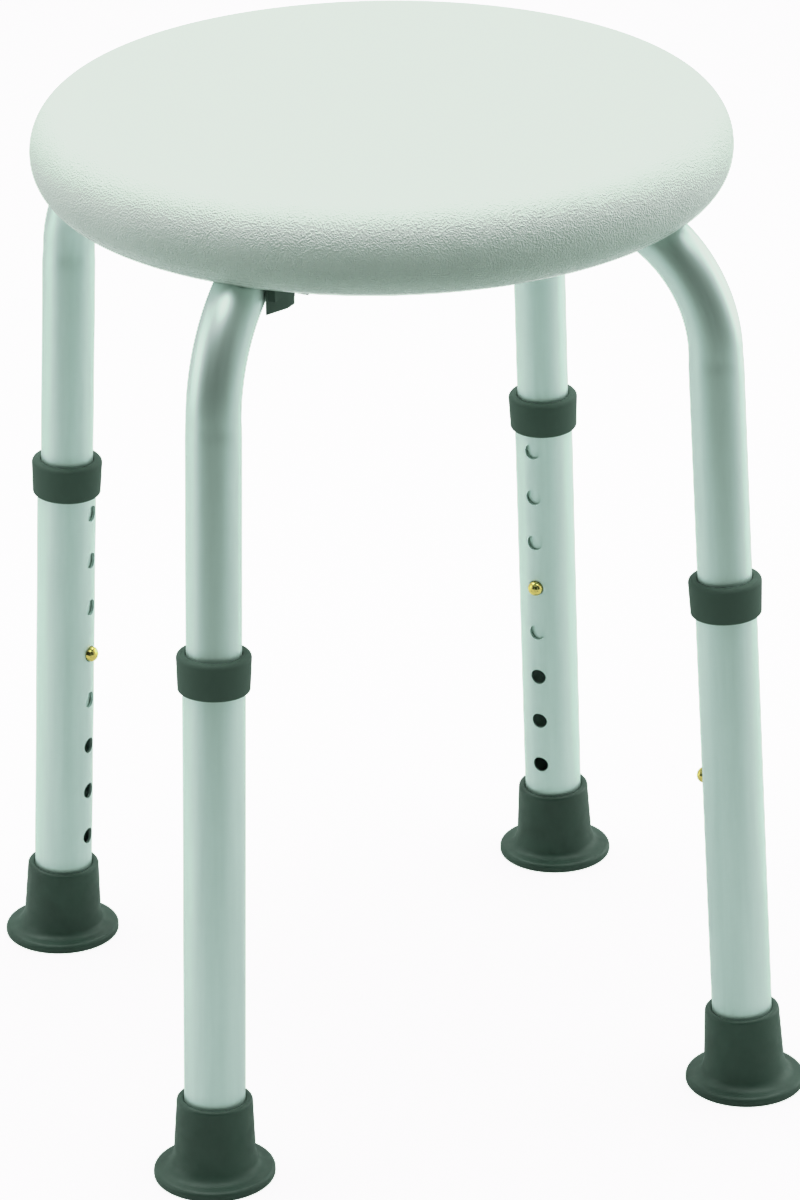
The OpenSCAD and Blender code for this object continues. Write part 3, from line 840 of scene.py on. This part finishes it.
class STOOL_OT_stage(bpy.types.Operator):
    """Sets the floor, the soft lights and the camera"""
    bl_idname = "stool.stage"
    bl_label = "Stage"

    def execute(self, context):
        self.floor()
        self.surroundings()
        self.lights()
        self.camera()
        self.exposure(context.scene.view_settings)
        return {"FINISHED"}

    def exposure(self, view):
        """Even midtones and a firm shoulder, so that pale plastic keeps its tone in strong light."""
        view.view_transform = "Standard"
        view.use_curve_mapping = True
        mapping = view.curve_mapping
        white = 2.5
        mapping.white_level = (white, white, white)
        for curve, tone, shoulder in zip(mapping.curves, (0.92, 1.06, 0.98), (0.755, 0.81, 0.765)):
            for light, shown in ((0.25, 0.25 * tone), (0.6, 0.585 + 0.1 * (tone - 0.92)),
                                 (0.85, 0.96 * shoulder), (1.3, shoulder), (1.8, 0.9)):
                curve.points.new(light / white, shown)
        mapping.update()

    def floor(self):
        pick_none()
        bpy.ops.mesh.primitive_plane_add(size=30, location=(0, 0, 0))
        ground = named("floor")
        material, tree, shader = new_material("floor_with_painted_shade", (0.9, 0.9, 0.9), 0.9)
        sight = tree.nodes.new("ShaderNodeLightPath")
        shade = tree.nodes.new("ShaderNodeMix")
        shade.data_type = "RGBA"
        # Painted shade: for all but camera rays the floor is dark on the side the stool is seen from
        # and pale behind, so less bounced light reaches the seat's front edge.
        bounce_with_painted_shade = tree.nodes.new("ShaderNodeMix")
        bounce_with_painted_shade.data_type = "RGBA"
        bounce_with_painted_shade.inputs["A"].default_value = (0.06, 0.065, 0.06, 1)
        bounce_with_painted_shade.inputs["B"].default_value = (0.6, 0.64, 0.62, 1)
        front = tree.nodes.new("ShaderNodeVectorMath")
        front.operation = "DOT_PRODUCT"
        front.inputs[1].default_value = (0.31, 0.95, 0)
        away = tree.nodes.new("ShaderNodeMapRange")
        away.inputs["From Min"].default_value = -1.5
        away.inputs["From Max"].default_value = -0.6
        tree.links.new(tree.nodes.new("ShaderNodeTexCoord").outputs["Object"], front.inputs[0])
        tree.links.new(front.outputs["Value"], away.inputs["Value"])
        tree.links.new(away.outputs["Result"], bounce_with_painted_shade.inputs["Factor"])
        shade.inputs["B"].default_value = (0.3, 0.3, 0.3, 1)
        tree.links.new(bounce_with_painted_shade.outputs["Result"], shade.inputs["A"])
        tree.links.new(sight.outputs["Is Camera Ray"], shade.inputs["Factor"])
        tree.links.new(shade.outputs["Result"], shader.inputs["Base Color"])
        shader.inputs["Emission Color"].default_value = (1, 1, 1, 1)
        glow = tree.nodes.new("ShaderNodeMath")
        glow.operation = "MULTIPLY"
        glow.inputs[1].default_value = 1.9
        tree.links.new(sight.outputs["Is Camera Ray"], glow.inputs[0])
        tree.links.new(glow.outputs["Value"], shader.inputs["Emission Strength"])
        ground.data.materials.append(material)

    def surroundings(self):
        """Pale room, darker towards the side that the stool is looked at from."""
        world = bpy.data.worlds.new("studio")
        bpy.context.scene.world = world
        world.use_nodes = True
        tree = world.node_tree
        background = tree.nodes["Background"]
        direction = tree.nodes.new("ShaderNodeTexCoord").outputs["Generated"]
        dot = tree.nodes.new("ShaderNodeVectorMath")
        dot.operation = "DOT_PRODUCT"
        azimuth = math.radians(-30)
        dot.inputs[1].default_value = (math.sin(azimuth), -math.cos(azimuth), 0.1)
        tree.links.new(direction, dot.inputs[0])
        shade = tree.nodes.new("ShaderNodeMapRange")
        shade.interpolation_type = "SMOOTHSTEP"
        shade.inputs["From Min"].default_value = -0.1
        shade.inputs["From Max"].default_value = 0.7
        shade.inputs["To Min"].default_value = 0.75
        shade.inputs["To Max"].default_value = 0.03
        tree.links.new(dot.outputs["Value"], shade.inputs["Value"])
        sight = tree.nodes.new("ShaderNodeLightPath")
        strength = tree.nodes.new("ShaderNodeMix")
        strength.inputs["B"].default_value = 1.0
        tree.links.new(sight.outputs["Is Camera Ray"], strength.inputs["Factor"])
        tree.links.new(shade.outputs["Result"], strength.inputs["A"])
        tree.links.new(strength.outputs["Result"], background.inputs["Strength"])
        background.inputs["Color"].default_value = (0.97, 1.0, 0.985, 1)

    def lights(self):
        """One wide soft light overhead and a tall one on each side."""
        plans = {
            "overhead": ((0, 0.3, 1.9), (0, 0, 0), 2.4, 48),
            "left_panel": ((-1.9, 0.5, 0.6), (0, math.radians(-90), 0), 1.6, 8),
            "right_panel": ((1.9, 0.4, 0.6), (0, math.radians(90), 0), 1.6, 13),
        }
        for name, (place, turn, width, power) in plans.items():
            lamp = bpy.data.lights.new(name, "AREA")
            lamp.shape = "SQUARE"
            lamp.size = width
            lamp.energy = power
            holder = bpy.data.objects.new(name, lamp)
            holder.location = place
            holder.rotation_euler = turn
            bpy.context.scene.collection.objects.link(holder)

    def camera(self):
        """Looks down on the stool from the front, a little to the left."""
        azimuth, elevation, roll = (math.radians(x) for x in (-18.29, 23.71, -0.8))
        aim, distance = Vector((0.0053, -0.0018, 0.2176)), 2.6985
        back = Vector((math.sin(azimuth) * math.cos(elevation),
                       -math.cos(azimuth) * math.cos(elevation), math.sin(elevation)))
        eye = bpy.data.objects.new("eye", bpy.data.cameras.new("eye"))
        bpy.context.scene.collection.objects.link(eye)
        eye.data.sensor_width = 36
        eye.data.lens = 168.67
        right = Vector((0, 0, 1)).cross(back).normalized()
        up = back.cross(right)
        across = right * math.cos(roll) + up * math.sin(roll)
        upward = up * math.cos(roll) - right * math.sin(roll)
        eye.matrix_world = Matrix((across, upward, back)).transposed().to_4x4()
        eye.location = aim + back * distance
        eye.data.clip_start, eye.data.clip_end = 0.05, 60
        bpy.context.scene.camera = eye


PIECES = (
    STOOL_OT_seat_shell, STOOL_OT_seat_pan, STOOL_OT_hub, STOOL_OT_clips, STOOL_OT_fasteners,
    STOOL_OT_upper_tubes, STOOL_OT_lower_tubes, STOOL_OT_collars, STOOL_OT_feet,
    STOOL_OT_buttons, STOOL_OT_stage,
)


class STOOL_PT_parts(bpy.types.Panel):
    """Lists the stool's pieces, sizes and colours"""
    bl_idname = "STOOL_PT_parts"
    bl_label = "Shower stool"
    bl_space_type = "VIEW_3D"
    bl_region_type = "UI"
    bl_category = "Stool"

    def draw(self, context):
        layout = self.layout
        for operator in PIECES:
            layout.operator(operator.bl_idname)
        for group in (context.scene.stool_sizes, context.scene.stool_colours):
            box = layout.box()
            for name in group.__annotations__:
                box.prop(group, name)


def register():
    for kind in (StoolSizes, StoolColours, *PIECES, STOOL_PT_parts):
        bpy.utils.register_class(kind)
    bpy.types.Scene.stool_sizes = bpy.props.PointerProperty(type=StoolSizes)
    bpy.types.Scene.stool_colours = bpy.props.PointerProperty(type=StoolColours)


def unregister():
    del bpy.types.Scene.stool_sizes
    del bpy.types.Scene.stool_colours
    for kind in reversed((StoolSizes, StoolColours, *PIECES, STOOL_PT_parts)):
        bpy.utils.unregister_class(kind)


def main():
    register()
    for operator in PIECES:
        group, name = operator.bl_idname.split(".")
        getattr(getattr(bpy.ops, group), name)()


if __name__ == "__main__":
    main()
